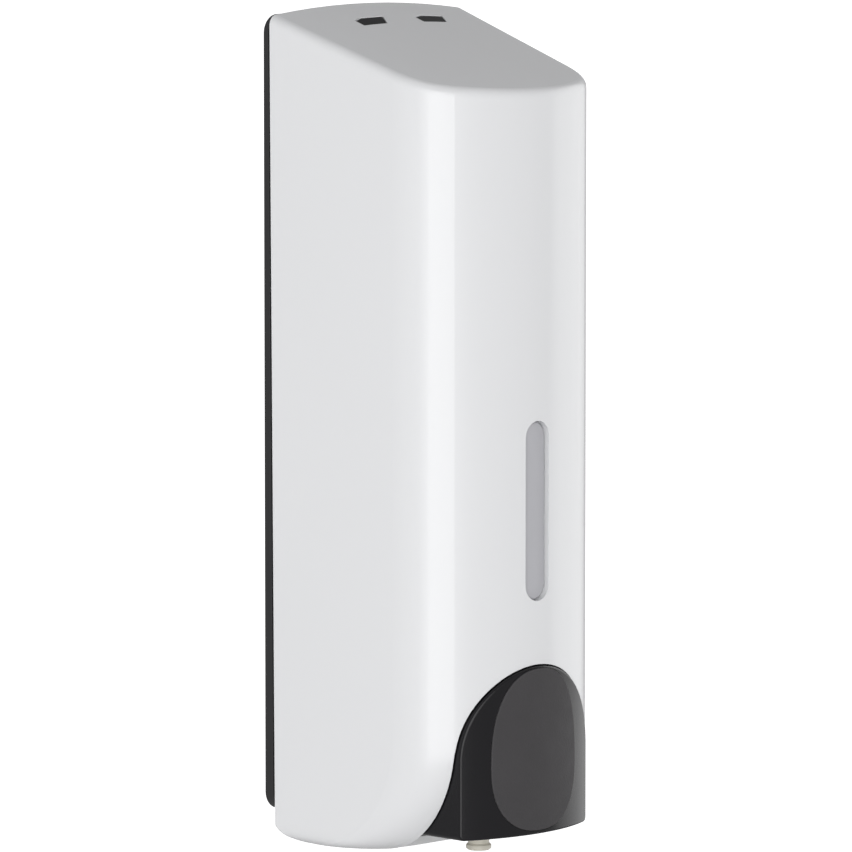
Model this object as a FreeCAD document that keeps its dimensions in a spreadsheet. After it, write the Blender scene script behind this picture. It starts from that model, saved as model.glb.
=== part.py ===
import FreeCAD, Part
import Sketcher
import math
import os
import re

# Wall mounted soap dispenser with a tipping front cover, a push lever and a horizontal piston pump.
# The wall is the plane y = 0, the front faces -Y and +Z is up.  The origin is the middle of the
# two wall screws, on the back face of the back plate.  All sizes are in millimetres.

Vector = FreeCAD.Vector
Rotation = FreeCAD.Rotation

doc = FreeCAD.newDocument("SoapDispenser")
sheet = doc.addObject("Spreadsheet::Sheet", "Sizes")

DIMENSIONS = [
    # cover
    ("HalfWidth", 41.0, "half of the cover's width at the wall"),
    ("Depth", 73.3, "from the wall to the middle of the cover's front"),
    ("CoverBottom", -130.0, "height of the cover's underside"),
    ("TopRear", 120.7, "height of the cover's top at the wall, on the centre line"),
    ("TopFall", 0.332, "how much the top falls for each millimetre towards the front"),
    ("CrownRadius", 320.0, "radius of the top across the width"),
    ("SideTaper", 0.077, "how much each side leans in for each millimetre towards the front"),
    ("CornerRadius", 20.0, "radius of the two upright front corners"),
    ("FrontRadius", 54.0, "radius of the bowed front"),
    ("CoverWall", 2.4, "wall of the cover"),
    ("ChinTop", -93.0, "height where the front starts to curve back to the underside"),
    ("ChinBack", 33.5, "how far the chin curves back"),
    ("EdgeRound", 4.5, "radius along the lower side edges"),
    ("BottomFall", 2.3, "angle in degrees by which the underside falls towards the front"),
    ("BottomLow", 45.0, "lowest line of the underside from the wall"),
    ("TopRound", 3.2, "radius around the top"),
    ("HeelRadius", 10.5, "radius of the lower rear corner of the cover"),
    ("HeelCorner", 2.0, "radius of the heel's two corners, seen from above"),
    ("PartingTop", 2.3, "gap line between plate and cover from the wall, at the top"),
    ("PartingBottom", 3.75, "the same at the bottom"),
    ("PartingGap", 0.4, "open gap between plate and cover"),
    # back plate
    ("PlateTop", 117.6, "top of the back plate"),
    ("PlateBottom", -119.8, "bottom of the back plate"),
    ("PlateCorner", 5.5, "corner radius of the back plate"),
    ("ScrewSpacing", 110.0, "distance between the two wall screws"),
    ("WallHoleRadius", 2.25, "radius of the wall screw holes"),
    # cover hinge
    ("HingeReach", 8.0, "hinge axis from the wall"),
    ("HingeHeight", -123.0, "height of the hinge axis"),
    ("HingePinRadius", 2.0, "hinge pin"),
    ("EarInner", 28.0, "inner face of each hinge ear, from the middle"),
    ("EarOuter", 33.2, "outer face of each hinge ear"),
    ("RunningFit", 0.05, "radial clearance of turning pins"),
    # level window
    ("WindowTop", -0.7, "top of the window slot"),
    ("WindowBottom", -54.0, "bottom of the window slot"),
    ("WindowRadius", 4.9, "half of the window's width"),
    ("LensRim", 2.0, "how far the lens reaches past the slot"),
    ("LensThickness", 1.5, "thickness of the lens"),
    ("LensSink", 1.4, "how far the lens lies below the cover's front"),
    ("LensGap", 0.3, "gap between the lens and the edge of the slot"),
    # key slots and latch
    ("SlotOffset", 12.5, "middle of each key slot's front edge from the centre line"),
    ("SlotReach", 15.5, "middle of the key slots from the wall"),
    ("SlotWidth", 9.6, "front edge of a key slot"),
    ("SlotDepth", 5.6, "key slot, front to back"),
    ("SlotSlant", 3.5, "how far the right edge of a key slot slants outwards to its rear corner"),
    ("SlotCutAcross", 3.6, "cut left corner of a key slot, along its rear edge"),
    ("SlotCutDeep", 1.5, "the same along its left edge"),
    ("SlideGap", 0.3, "clearance around sliding pieces"),
    ("TongueShy", 0.15, "how far the latch's tongues stop below the top of the cover"),
    ("LatchTop", 110.4, "top of the latch bar"),
    ("LatchBar", 3.5, "thickness of the latch bar"),
    ("LatchHalf", 19.5, "half length of the latch bar"),
    ("GuideTop", 99.5, "top of the latch guide"),
    ("GuideScrewOffset", 24.0, "latch guide screws from the middle"),
    # lever
    ("ArchRadius", 27.2, "half width and top radius of the lever opening"),
    ("ArchCentre", -100.0, "height of the centre of the opening's round top"),
    ("ArchRear", 35.5, "how far back the opening is cut in the underside"),
    ("LeverGap", 0.5, "gap between lever and opening"),
    ("LeverReach", 74.2, "wall to the middle of the lever's front"),
    ("LeverFront", 57.7, "radius of the lever's bowed front"),
    ("LeverWall", 2.2, "wall of the lever"),
    ("LeverBottom", -123.3, "bottom edge of the lever"),
    ("LeverRound", 0.8, "radius around the lever's front"),
    ("LeverFoot", 1.6, "radius of the lever's lower side edges"),
    ("LeverHeel", 47.0, "lower rear corner of the lever's sides from the wall"),
    ("LeverShoulder", 61.0, "upper rear edge of the lever's sides from the wall"),
    ("PivotReach", 63.0, "lever axis from the wall"),
    ("PivotHeight", -69.0, "height of the lever axis"),
    ("LeverPinRadius", 1.5, "lever pin"),
    ("HubRadius", 4.0, "lever hub"),
    ("HubHalf", 14.0, "half length of the lever hub"),
    ("PadHalf", 17.7, "half width of the push pad"),
    ("PadCentre", -102.0, "height of the pad's widest line"),
    ("PadUp", 28.2, "pad above its widest line"),
    ("PadDown", 20.2, "pad below its widest line"),
    ("PadThickness", 1.5, "thickness of the push pad"),
    ("PadRise", 0.3, "how far the pad stands out of the lever's front"),
    ("PadRound", 0.28, "radius around the pad's front"),
    ("PadGap", 0.12, "gap around the pad in its seat"),
    ("GlueGap", 0.05, "film of glue under the pad"),
    # tank
    ("TankInset", 7.5, "tank inside the cover's outer face"),
    ("TankWall", 1.6, "wall of the tank"),
    ("TankRear", 6.5, "rear of the tank from the wall"),
    ("TankTop", 80.0, "top of the tank"),
    ("TankBottom", -63.0, "underside of the tank"),
    ("FillReach", 34.0, "middle of the filling hole from the wall"),
    ("FillRadius", 17.0, "filling hole"),
    ("NeckRadius", 10.0, "outside of the tank's neck"),
    ("NeckWall", 2.0, "wall of the neck"),
    ("NeckBottom", -80.0, "lower end of the neck"),
    ("SealThickness", 1.5, "thickness of the flat seals"),
    # pump
    ("InletReach", 24.0, "neck and inlet valve from the wall"),
    ("InletRadius", 5.0, "bore of the inlet tube"),
    ("PumpHeight", -104.0, "height of the pump's axis"),
    ("PumpRadius", 9.0, "outside of the pump cylinder"),
    ("BoreRadius", 7.0, "bore of the pump cylinder"),
    ("PumpRear", 12.0, "rear end of the pump cylinder from the wall"),
    ("PumpFront", 46.0, "front end of the pump cylinder from the wall"),
    ("CageTop", -92.8, "top of the valve cage"),
    ("SeatBottom", -86.0, "underside of the valve seat"),
    ("BallRadius", 3.0, "inlet ball"),
    ("BallRest", -90.25, "height of the ball's centre at rest"),
    ("DuctHeight", -116.0, "height of the outlet duct"),
    ("DuctRadius", 4.2, "outside of the outlet duct"),
    ("NozzleReach", 49.0, "nozzle from the wall"),
    ("SocketRadius", 6.2, "outside of the nozzle socket"),
    ("SocketBottom", -123.5, "lower end of the nozzle socket"),
    ("NozzleRadius", 3.5, "nozzle"),
    ("NozzleBottom", -130.8, "lower end of the nozzle"),
    ("PlungerRest", 34.0, "rear face of the piston from the wall"),
    ("ShoeFront", 55.0, "front of the plunger's shoe from the wall"),
    # pump bracket
    ("ShelfHalf", 26.0, "half width of the bracket's shelf"),
    ("ShelfFront", 44.0, "front of the shelf from the wall"),
    ("ShelfThickness", 2.5, "thickness of the shelf"),
    ("FlangeRear", 3.6, "rear of the bracket's flange from the wall"),
    ("FlangeFront", 6.0, "front of the bracket's flange from the wall"),
    ("BracketBottom", -103.0, "bottom of the bracket's flange"),
    ("BracketScrewOffset", 19.0, "bracket screws from the middle"),
]

for row, (alias, value, note) in enumerate(DIMENSIONS, start=1):
    sheet.set("A%d" % row, note)
    sheet.set("B%d" % row, str(value))
    sheet.setAlias("B%d" % row, alias)
doc.recompute()


# ---------------------------------------------------------------- helpers

def size(alias):
    """Number in the sheet's cell of that name."""
    return float(sheet.get(alias))


def sized(words):
    """Expression in which every capitalised word is a cell of the sheet."""
    return re.sub(r"[A-Z][A-Za-z]+", lambda found: "Sizes." + found.group(0), words)


def bind(obj, **properties):
    for name, words in properties.items():
        obj.setExpression(name, sized(words))
    return obj


def put(obj, x="0", y="0", z="0", turn=None):
    """Places an object at bound coordinates, after turning it."""
    if turn is not None:
        obj.Placement = FreeCAD.Placement(Vector(), turn)
    for axis, words in (("x", x), ("y", y), ("z", z)):
        obj.setExpression("Placement.Base." + axis, sized(words))
    return obj


def difference(span):
    return "(%s) - (%s)" % (span[1], span[0])


def box(name, x, y, z):
    """Box between the low and high words of each span."""
    obj = doc.addObject("Part::Box", name)
    bind(obj, Length=difference(x), Width=difference(y), Height=difference(z))
    return put(obj, x[0], y[0], z[0])


ALONG = {
    "x": Rotation(Vector(0, 0, 1), Vector(1, 0, 0)),
    "y": Rotation(Vector(0, 0, 1), Vector(0, 1, 0)),
    "z": Rotation(),
}
FORWARD = Rotation(Vector(0, 0, 1), Vector(0, -1, 0))


def rod(name, radius, x, y, z):
    """Cylinder along the one coordinate that is given as a span."""
    spans = {"x": x, "y": y, "z": z}
    axis = [key for key, value in spans.items() if isinstance(value, tuple)][0]
    obj = doc.addObject("Part::Cylinder", name)
    bind(obj, Radius=radius, Height=difference(spans[axis]))
    low = {key: value[0] if key == axis else value for key, value in spans.items()}
    return put(obj, low["x"], low["y"], low["z"], ALONG[axis])


def fuse(name, *pieces):
    obj = doc.addObject("Part::MultiFuse", name)
    obj.Shapes = list(pieces)
    obj.Refine = True
    return obj


def cut(name, base, *tools):
    obj = doc.addObject("Part::Cut", name)
    obj.Base = base
    obj.Tool = tools[0] if len(tools) == 1 else fuse(name + "_tools", *tools)
    obj.Refine = True
    return obj


def common(name, first, second):
    obj = doc.addObject("Part::Common", name)
    obj.Base = first
    obj.Tool = second
    return obj


def group(name, *pieces):
    """Several separate solids of one kind in one sub-part."""
    obj = doc.addObject("Part::Compound", name)
    obj.Links = list(pieces)
    return obj


def shaped(name, shape):
    obj = doc.addObject("Part::Feature", name)
    obj.Shape = shape
    return obj


def origin_plane(body, role):
    return [item for item in body.Origin.OriginFeatures if item.Role == role][0]


def outline_sketch(body, role, corners):
    """Closed polygon on an origin plane, each corner held by two bound distances."""
    sketch = body.newObject("Sketcher::SketchObject", body.Name + "_sketch")
    sketch.AttachmentSupport = [(origin_plane(body, role), "")]
    sketch.MapMode = "FlatFace"
    points = [Vector(evaluate(a), evaluate(b), 0) for a, b in corners]
    count = len(points)
    for i in range(count):
        sketch.addGeometry(Part.LineSegment(points[i], points[(i + 1) % count]))
    for i in range(count):
        sketch.addConstraint(Sketcher.Constraint("Coincident", i, 2, (i + 1) % count, 1))
    for i, (a, b) in enumerate(corners):
        for kind, words, value in (("DistanceX", a, points[i].x), ("DistanceY", b, points[i].y)):
            number = sketch.addConstraint(Sketcher.Constraint(kind, -1, 1, i, 1, value))
            sketch.setExpression("Constraints[%d]" % number, sized(words))
    return sketch


def evaluate(words):
    return float(sheet.evalExpression(sized(words).replace("Sizes.", "")))


def turned(name, profile, x="0", y="0", z="0", turn=None):
    """Body turned about its own Z axis from corners of (radius, height)."""
    body = doc.addObject("PartDesign::Body", name)
    sketch = outline_sketch(body, "XZ_Plane", profile)
    spin = body.newObject("PartDesign::Revolution", name + "_turn")
    spin.Profile = sketch
    spin.ReferenceAxis = (sketch, ["V_Axis"])
    spin.Angle = 360
    return put(body, x, y, z, turn)


def prism(name, role, corners, span):
    """Polygon on an origin plane, extruded between two distances along the plane's axis."""
    body = doc.addObject("PartDesign::Body", name)
    sketch = outline_sketch(body, role, corners)
    pad = body.newObject("PartDesign::Pad", name + "_pad")
    pad.Profile = sketch
    pad.setExpression("Length", sized(difference(span)))
    axis = {"YZ_Plane": "x", "XZ_Plane": "y", "XY_Plane": "z"}[role]
    start = span[1] if axis == "y" else span[0]
    return put(body, **{axis: start})


def arc_through(first, middle, last):
    return Part.Arc(first, middle, last).toShape()


# ---------------------------------------------------------------- outline shared by cover and tank

def plan_outline(z, inset, setback, rear, rear_round):
    """Closed outline of the cover at height z, seen from above.

    inset moves every wall inwards, setback moves the bowed front and its two round corners
    towards the wall, and rear is the straight rear edge's distance from the wall.
    """
    lean = math.atan(size("SideTaper"))
    side = Vector(math.cos(lean), math.sin(lean), 0)
    side_distance = size("HalfWidth") * side.x - inset
    corner = size("CornerRadius") - inset
    front = size("FrontRadius") - inset
    bow_centre = Vector(0, size("Depth") - size("FrontRadius") - setback, 0)

    # The corner arc touches the side line and, from inside, the bowed front.
    reach = size("FrontRadius") - size("CornerRadius")
    off_centre = side_distance - corner - bow_centre.dot(side)
    along = math.sqrt(reach ** 2 - off_centre ** 2)
    corner_centre = bow_centre + side * off_centre + Vector(-side.y, side.x, 0) * along
    bow_direction = (corner_centre - bow_centre).normalize()
    corner_middle = (side + bow_direction).normalize()
    side_end = corner_centre + side * corner
    bow_end = bow_centre + bow_direction * front

    # The rear corners have a small radius of their own.
    rear_y = rear + rear_round
    rear_x = (side_distance - rear_round - rear_y * side.y) / side.x
    rear_centre = Vector(rear_x, rear_y, 0)
    rear_middle = (side + Vector(0, -1, 0)).normalize()
    rear_side = rear_centre + side * rear_round

    def right(point):
        return Vector(point.x, -point.y, z)

    def left(point):
        return Vector(-point.x, -point.y, z)

    rear_end = Vector(rear_x, rear, 0)
    corner_point = corner_centre + corner_middle * corner
    rear_point = rear_centre + rear_middle * rear_round
    bow_middle = bow_centre + Vector(0, front, 0)
    edges = [
        Part.makeLine(left(rear_end), right(rear_end)),
        Part.makeLine(right(rear_side), right(side_end)),
        arc_through(right(side_end), right(corner_point), right(bow_end)),
        arc_through(right(bow_end), right(bow_middle), left(bow_end)),
        arc_through(left(bow_end), left(corner_point), left(side_end)),
        Part.makeLine(left(side_end), left(rear_side)),
    ]
    if rear_round > 0:
        edges.insert(1, arc_through(right(rear_end), right(rear_point), right(rear_side)))
        edges.append(arc_through(left(rear_side), left(rear_point), left(rear_end)))
    return Part.Wire(edges)


SMALL_ROUND = 0.5       # radius of the rear corners where nothing else rounds them
CHIN_STEPS = 12         # sections of the chin's loft
ABOVE_TOP = 140.0       # any height above the cover
OPENING_RISE = 1.0      # the opening to the wall starts this far above the plate's bottom edge


def crown(inset):
    """Round bar whose upper surface is the cover's sloping, crowned top."""
    slope = math.atan(size("TopFall"))
    normal = Vector(0, -math.sin(slope), math.cos(slope))
    forward = Vector(0, -math.cos(slope), -math.sin(slope))
    radius = size("CrownRadius")
    length = 4 * size("Depth")
    centre = Vector(0, 0, size("TopRear")) - normal * radius - forward * (length / 2)
    return Part.makeCylinder(radius - inset, length, centre, forward)


def cover_block(inset):
    """The cover's outer form as a solid, with every wall moved inwards by inset."""
    chin_back = size("ChinBack") - inset
    chin_drop = size("ChinTop") - size("CoverBottom") - inset
    bottom = size("CoverBottom") + inset
    edge = size("EdgeRound") - inset
    heel = size("HeelRadius") - inset
    heel_height = size("CoverBottom") + size("HeelRadius")
    heel_reach = size("PartingTop") - SMALL_ROUND + size("HeelRadius")
    sections = []
    for step in range(CHIN_STEPS + 1):
        turn = math.radians(90.0 * step / CHIN_STEPS)
        z = size("ChinTop") - chin_drop * math.sin(turn)
        setback = chin_back * (1 - math.cos(turn))
        into_edge = max(bottom + edge - z, 0.0)
        tuck = edge - math.sqrt(max(edge ** 2 - into_edge ** 2, 0.0))
        into_heel = max(heel_height - z, 0.0)
        heel_rise = math.sqrt(max(heel ** 2 - into_heel ** 2, 0.0))
        rear_round = SMALL_ROUND + (size("HeelCorner") - SMALL_ROUND) * (1 - heel_rise / heel)
        section = plan_outline(z, inset + tuck, setback, heel_reach - heel_rise, rear_round)
        tilt = size("BottomFall") * math.sin(turn) ** 4
        section.rotate(Vector(0, -size("BottomLow"), z), Vector(1, 0, 0), tilt)
        sections.append(section)
    chin = Part.makeLoft(sections, True, False)
    foot = Part.Face(plan_outline(size("ChinTop"), inset, 0.0, heel_reach - heel, 0.0))
    upright = foot.extrude(Vector(0, 0, ABOVE_TOP - size("ChinTop"))).common(crown(inset))
    return chin, upright


def rear_opening(inset):
    """What opens the cover's hollow towards the wall, above the heel."""
    low = size("PlateBottom") + OPENING_RISE
    foot = Part.Face(plan_outline(low, inset, 0.0, -size("HeelRadius"), 0.0))
    column = foot.extrude(Vector(0, 0, ABOVE_TOP - low)).common(crown(inset))
    width, reach = 4 * size("HalfWidth"), 2 * size("HeelRadius")
    near_wall = Part.makeBox(width, reach, 2 * ABOVE_TOP, Vector(-width / 2, -size("HeelRadius") - 2, low))
    return column.common(near_wall)


def round_top(solid, radius):
    """Rounds the edges between the crowned top and the upright walls, but not the rear one."""
    def is_top(face):
        return isinstance(face.Surface, Part.Cylinder) and face.Surface.Radius > 2 * size("Depth")

    top = [face for face in solid.Faces if is_top(face)][0]
    edges = [edge for edge in top.Edges if edge.BoundBox.YMin < -size("HeelRadius")]
    return solid.makeFillet(radius, edges)


# ---------------------------------------------------------------- front cover

def outward(words):
    """Span from -words to +words."""
    return ("-(%s)" % words, words)


def stadium(name, radius, low, high, y):
    """Upright slot shape: two round ends joined by straight sides, along the y span."""
    return fuse(
        name,
        rod(name + "_top", radius, "0", y, "(%s) - (%s)" % (high, radius)),
        rod(name + "_bottom", radius, "0", y, "(%s) + (%s)" % (low, radius)),
        box(name + "_middle", outward(radius), y, ("(%s) + (%s)" % (low, radius), "(%s) - (%s)" % (high, radius))),
    )


def front_cover():
    outer_chin, outer_upright = cover_block(0.0)
    inner_chin, inner_upright = cover_block(size("CoverWall"))
    outer = round_top(outer_upright.Solids[0], size("TopRound")).fuse(outer_chin)
    hollow = inner_upright.fuse([inner_chin, rear_opening(size("CoverWall"))])
    # The joined hollow has to reach the wall plane, or the cover would have a closed back.
    if not hollow.isInside(Vector(0, -size("PartingTop") / 2, 0), SMALL_ROUND / 10, False):
        raise RuntimeError("the hollow of the cover does not open towards the wall")
    shell = shaped("cover_shell", outer.cut(hollow))
    cover_solid = shaped("cover_solid", outer)

    parting = prism("parting_tool", "YZ_Plane", [
        ("-PartingBottom", "PlateBottom"),
        ("-PartingTop", "PlateTop"),
        ("-PartingTop", "TopRear + 10"),
        ("10", "TopRear + 10"),
        ("10", "CoverBottom - 10"),
        ("-PartingBottom", "CoverBottom - 10"),
    ], outward("HalfWidth + 10"))
    heel_opening = box("heel_opening_tool", outward("HalfWidth - 2 * CoverWall + 0.4"),
                       ("-HeelRadius - 2.5", "5"), ("CoverBottom - 5", "PlateBottom + 6"))

    arch_span = ("-Depth - 5", "-ArchRear")
    arch = fuse("arch_tool",
                rod("arch_round", "ArchRadius", "0", arch_span, "ArchCentre"),
                box("arch_sides", outward("ArchRadius"), arch_span, ("CoverBottom - 5", "ArchCentre")))
    notch = fuse("nozzle_notch_tool",
                 box("notch_sides", outward("SocketRadius + 0.8"), ("-Depth", "-NozzleReach"),
                     ("CoverBottom - 5", "CoverBottom + 12")),
                 rod("notch_round", "SocketRadius + 0.8", "0", "-NozzleReach",
                     ("CoverBottom - 5", "CoverBottom + 12")))
    window = stadium("window_tool", "WindowRadius", "WindowBottom", "WindowTop", ("-Depth - 5", "-Depth + 10"))
    slots = [key_slot(side) for side in (-1, 1)]

    hinge_lugs = []
    hinge_holes = []
    pivot_lugs = []
    bosses = []
    boss_holes = []
    for name, side in (("left", "-1"), ("right", "1")):
        near, far = "EarOuter + SlideGap", "HalfWidth - 1.2"
        low, high = (near, far) if side == "1" else ("-(%s)" % far, "-(%s)" % near)
        hinge_lugs.append(rod(name + "_hinge_lug", "HingePinRadius + 2.2", (low, high),
                              "-HingeReach", "HingeHeight"))
        hole = (low, "(%s) - 1.5" % high) if side == "1" else ("(%s) + 1.5" % low, high)
        hinge_holes.append(rod(name + "_hinge_hole", "HingePinRadius + RunningFit", hole,
                               "-HingeReach", "HingeHeight"))
        near, far = "HubHalf + 0.6", "HubHalf + 4"
        low, high = (near, far) if side == "1" else ("-(%s)" % far, "-(%s)" % near)
        pivot_lugs.append(box(name + "_pivot_lug", (low, high), ("-Depth", "-PivotReach + 3.5"),
                              ("PivotHeight - 3.5", "PivotHeight + 3")))
        offset = "%s * GuideScrewOffset" % side
        bosses.append(rod(name + "_guide_boss", "3.6", offset, "-SlotReach", ("GuideTop", "TopRear - 8.6")))
        boss_holes.append(rod(name + "_guide_hole", "1.25", offset, "-SlotReach",
                              ("GuideTop - 1", "GuideTop + 8.5")))
    pivot_hole = rod("pivot_hole", "LeverPinRadius", outward("HubHalf + 6"), "-PivotReach", "PivotHeight")
    lugs = common("inner_lugs", fuse("lug_blanks", *(hinge_lugs + pivot_lugs + bosses)), cover_solid)
    walls = cut("cover_walls", shell, parting, heel_opening, arch, notch, window, *slots)
    return cut("front_cover", fuse("cover_with_lugs", walls, lugs), pivot_hole, *(hinge_holes + boss_holes))


def key_slot(side):
    """Upright prism of a key slot with one cut corner, through the top of the cover."""
    name = "left_key_slot" if side < 0 else "right_key_slot"
    return slot_prism(name, side, "0", ("GuideTop + 4", "TopRear + 10"))


def slot_prism(name, side, shrink, span):
    middle = "%d * SlotOffset" % side
    left = "%s - SlotWidth / 2 + %s" % (middle, shrink)
    right = "%s + SlotWidth / 2 - 1.2 * %s" % (middle, shrink)
    rear = "-SlotReach + SlotDepth / 2 - %s" % shrink
    front = "-SlotReach - SlotDepth / 2 + %s" % shrink
    # Shrinking moves the slanted edge inwards by its own slope, at each of its two ends.
    return prism(name, "XY_Plane", [
        (left, front),
        ("%s + SlotSlant / SlotDepth * %s" % (right, shrink), front),
        ("%s + SlotSlant - SlotSlant / SlotDepth * %s" % (right, shrink), rear),
        (left + " + SlotCutAcross", rear),
        (left, rear + " - SlotCutDeep"),
    ], span)


def bow_ring(name, outer_inset, inner_inset, low, high):
    """Part of a tube that follows the inside of the cover's bowed front."""
    centre = "-Depth + FrontRadius"
    return cut(name,
               rod(name + "_outer", "FrontRadius - (%s)" % outer_inset, "0", centre, (low, high)),
               rod(name + "_inner", "FrontRadius - (%s)" % inner_inset, "0", centre, (low, high)))


def window_lens():
    """Lens with a rim behind the cover's wall and a raised middle that fills the slot."""
    span = ("-Depth - 5", "-Depth + 12")
    heights = ("WindowBottom - 10", "WindowTop + 10")
    rim = stadium("lens_outline", "WindowRadius + LensRim", "WindowBottom - LensRim", "WindowTop + LensRim", span)
    sheet_form = bow_ring("lens_sheet", "CoverWall", "CoverWall + LensThickness", *heights)
    middle = stadium("lens_middle", "WindowRadius - LensGap", "WindowBottom + LensGap", "WindowTop - LensGap", span)
    raised = bow_ring("lens_raised", "LensSink", "CoverWall + LensThickness", *heights)
    crisp = fuse("lens_block", common("lens_rim", rim, sheet_form), common("lens_face", middle, raised))
    face = size("FrontRadius") - size("LensSink")

    def on_face(edge):
        point = edge.valueAt((edge.FirstParameter + edge.LastParameter) / 2)
        reach = math.hypot(point.x, point.y + size("Depth") - size("FrontRadius"))
        return abs(reach - face) < SMALL_ROUND / 2

    return rounded("window_lens", crisp, on_face, size("CoverWall") - size("LensSink") - 0.3)


def lens_retainer():
    outline = stadium("retainer_outline", "WindowRadius + 4.5", "WindowBottom - 4.5", "WindowTop + 4.5",
                      ("-Depth - 5", "-Depth + 14"))
    sight = stadium("retainer_sight", "WindowRadius - 0.6", "WindowBottom + 0.6", "WindowTop - 0.6",
                    ("-Depth - 5", "-Depth + 14"))
    pocket = common("retainer_pocket",
                    stadium("pocket_outline", "WindowRadius + LensRim + 0.1", "WindowBottom - LensRim - 0.1",
                            "WindowTop + LensRim + 0.1", ("-Depth - 5", "-Depth + 14")),
                    bow_ring("pocket_sheet", "0", "CoverWall + LensThickness",
                             "WindowBottom - 12", "WindowTop + 12"))
    frame_sheet = bow_ring("retainer_sheet", "CoverWall", "CoverWall + LensThickness + 1.6",
                           "WindowBottom - 12", "WindowTop + 12")
    return cut("lens_retainer", common("retainer_blank", outline, frame_sheet), sight, pocket)


# ---------------------------------------------------------------- push lever on the cover

def lever_form(name, inset, low):
    """Round-topped form of the lever behind its bowed front, down to the height low."""
    half = "(ArchRadius - LeverGap - %s)" % inset
    span = ("-Depth - 5", "-LeverHeel + 5")
    face = fuse(name + "_face",
                rod(name + "_round", half, "0", span, "ArchCentre"),
                box(name + "_sides", outward(half), span, (low, "ArchCentre")))
    bow = rod(name + "_bow", "LeverFront - %s" % inset, "0", "-LeverReach + LeverFront",
              (low, "ArchCentre + ArchRadius + 2"))
    return common(name, face, bow)


def push_lever():
    rear_tool = prism("lever_rear_tool", "YZ_Plane", [
        ("-LeverHeel", "LeverBottom - 20"),
        ("-LeverHeel", "LeverBottom"),
        ("-LeverShoulder", "ArchCentre + ArchRadius"),
        ("-LeverShoulder", "ArchCentre + ArchRadius + 20"),
        ("10", "ArchCentre + ArchRadius + 20"),
        ("10", "LeverBottom - 20"),
    ], outward("HalfWidth"))
    crisp = lever_form("lever_block", "0", "LeverBottom")
    footed = rounded("lever_footed", crisp, on_lever_foot, size("LeverFoot"))
    block = rounded("lever_rounded", footed, on_lever_front, size("LeverRound"))
    pad_seat = pad_solid("pad_seat", 0.0, "-10", "PadThickness")
    hollow = lever_form("lever_hollow", "LeverWall", "LeverBottom - 10")
    shell = cut("lever_shell", block, hollow, rear_tool)
    seat_backing = pad_solid("pad_backing", 1.0, "LeverWall - 0.2", "PadThickness + 1.6")
    backing = common("lever_backing", seat_backing, lever_form("backing_limit", "1", "LeverBottom"))

    hub = rod("lever_hub", "HubRadius", outward("HubHalf"), "-PivotReach", "PivotHeight")
    hub_hole = rod("lever_hub_hole", "LeverPinRadius + RunningFit", outward("HubHalf + 1"),
                   "-PivotReach", "PivotHeight")
    ribs = []
    for name, low, high in (("left", "-HubHalf + 1", "-HubHalf + 4"), ("right", "HubHalf - 4", "HubHalf - 1")):
        ribs.append(prism(name + "_lever_rib", "YZ_Plane", [
            ("-PivotReach + HubRadius - 0.6", "PivotHeight - 1"),
            ("-PivotReach + HubRadius - 0.6", "PivotHeight - 26"),
            ("-LeverReach + 3.2", "PivotHeight - 30"),
            ("-LeverReach + 4.6", "PivotHeight - 10"),
            ("-PivotReach - HubRadius + 0.2", "PivotHeight + 1"),
        ], (low, high)))
    boss = rod("push_boss", "3", "0", ("-LeverReach + PadThickness + 1", "-ShoeFront - SlideGap"), "PumpHeight")
    whole = fuse("lever_blank", shell, backing, hub, boss, *ribs)
    return cut("push_lever", whole, pad_seat, hub_hole)


def rounded(name, base, chosen, radius):
    """Fillet of the edges that the function chosen picks out."""
    doc.recompute()
    numbers = [number for number, edge in enumerate(base.Shape.Edges, start=1) if chosen(edge)]
    block = doc.addObject("Part::Fillet", name)
    block.Base = base
    block.Edges = [(number, radius, radius) for number in numbers]
    return block


def on_lever_foot(edge):
    """True for the two straight edges between the lever's sides and its underside."""
    half = size("ArchRadius") - size("LeverGap")
    box_of = edge.BoundBox
    along_side = box_of.XLength < SMALL_ROUND and abs(abs(box_of.XMin) - half) < SMALL_ROUND
    return along_side and box_of.ZMax < size("LeverBottom") + SMALL_ROUND


def on_lever_front(edge):
    """True for the edges around the lever's bowed front, apart from its straight bottom edge."""
    half = size("ArchRadius") - size("LeverGap")
    crease = size("LeverReach") - size("LeverFront") + math.sqrt(size("LeverFront") ** 2 - half ** 2)
    box_of = edge.BoundBox
    low_edge = box_of.ZMax < size("LeverBottom") + SMALL_ROUND
    return box_of.YMax < -crease + SMALL_ROUND and not low_edge


PAD_SQUARENESS = 2.4    # exponent of the pad's outline: 2 is an ellipse, more is squarer
PAD_POINTS = 40         # points that carry the pad's smooth outline


def pad_outline(margin):
    """Closed egg shape that is squarer than an ellipse, its lower half shorter than its upper."""
    power = 2 / PAD_SQUARENESS
    points = []
    for number in range(PAD_POINTS):
        turn = 2 * math.pi * (number + 0.5) / PAD_POINTS
        across, rise = math.cos(turn), math.sin(turn)
        reach = size("PadUp") if rise > 0 else size("PadDown")
        x = math.copysign(abs(across) ** power, across) * (size("PadHalf") + margin)
        z = math.copysign(abs(rise) ** power, rise) * (reach + margin)
        points.append(Vector(x, 0, size("PadCentre") + z))
    curve = Part.BSplineCurve()
    curve.interpolate(Points=points, PeriodicFlag=True)
    return Part.Wire(curve.toShape())


def pad_solid(name, margin, front_inset, rear_inset):
    """Egg-shaped piece of the lever's face, between two depths below its bowed front."""
    bar = shaped(name + "_bar", Part.Face(pad_outline(margin)).extrude(Vector(0, -2 * size("Depth"), 0)))
    centre = "-LeverReach + LeverFront"
    span = ("LeverBottom - 5", "PivotHeight + 5")
    ring = cut(name + "_ring",
               rod(name + "_front", "LeverFront - (%s)" % front_inset, "0", centre, span),
               rod(name + "_rear", "LeverFront - (%s)" % rear_inset, "0", centre, span))
    return common(name, bar, ring)


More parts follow.
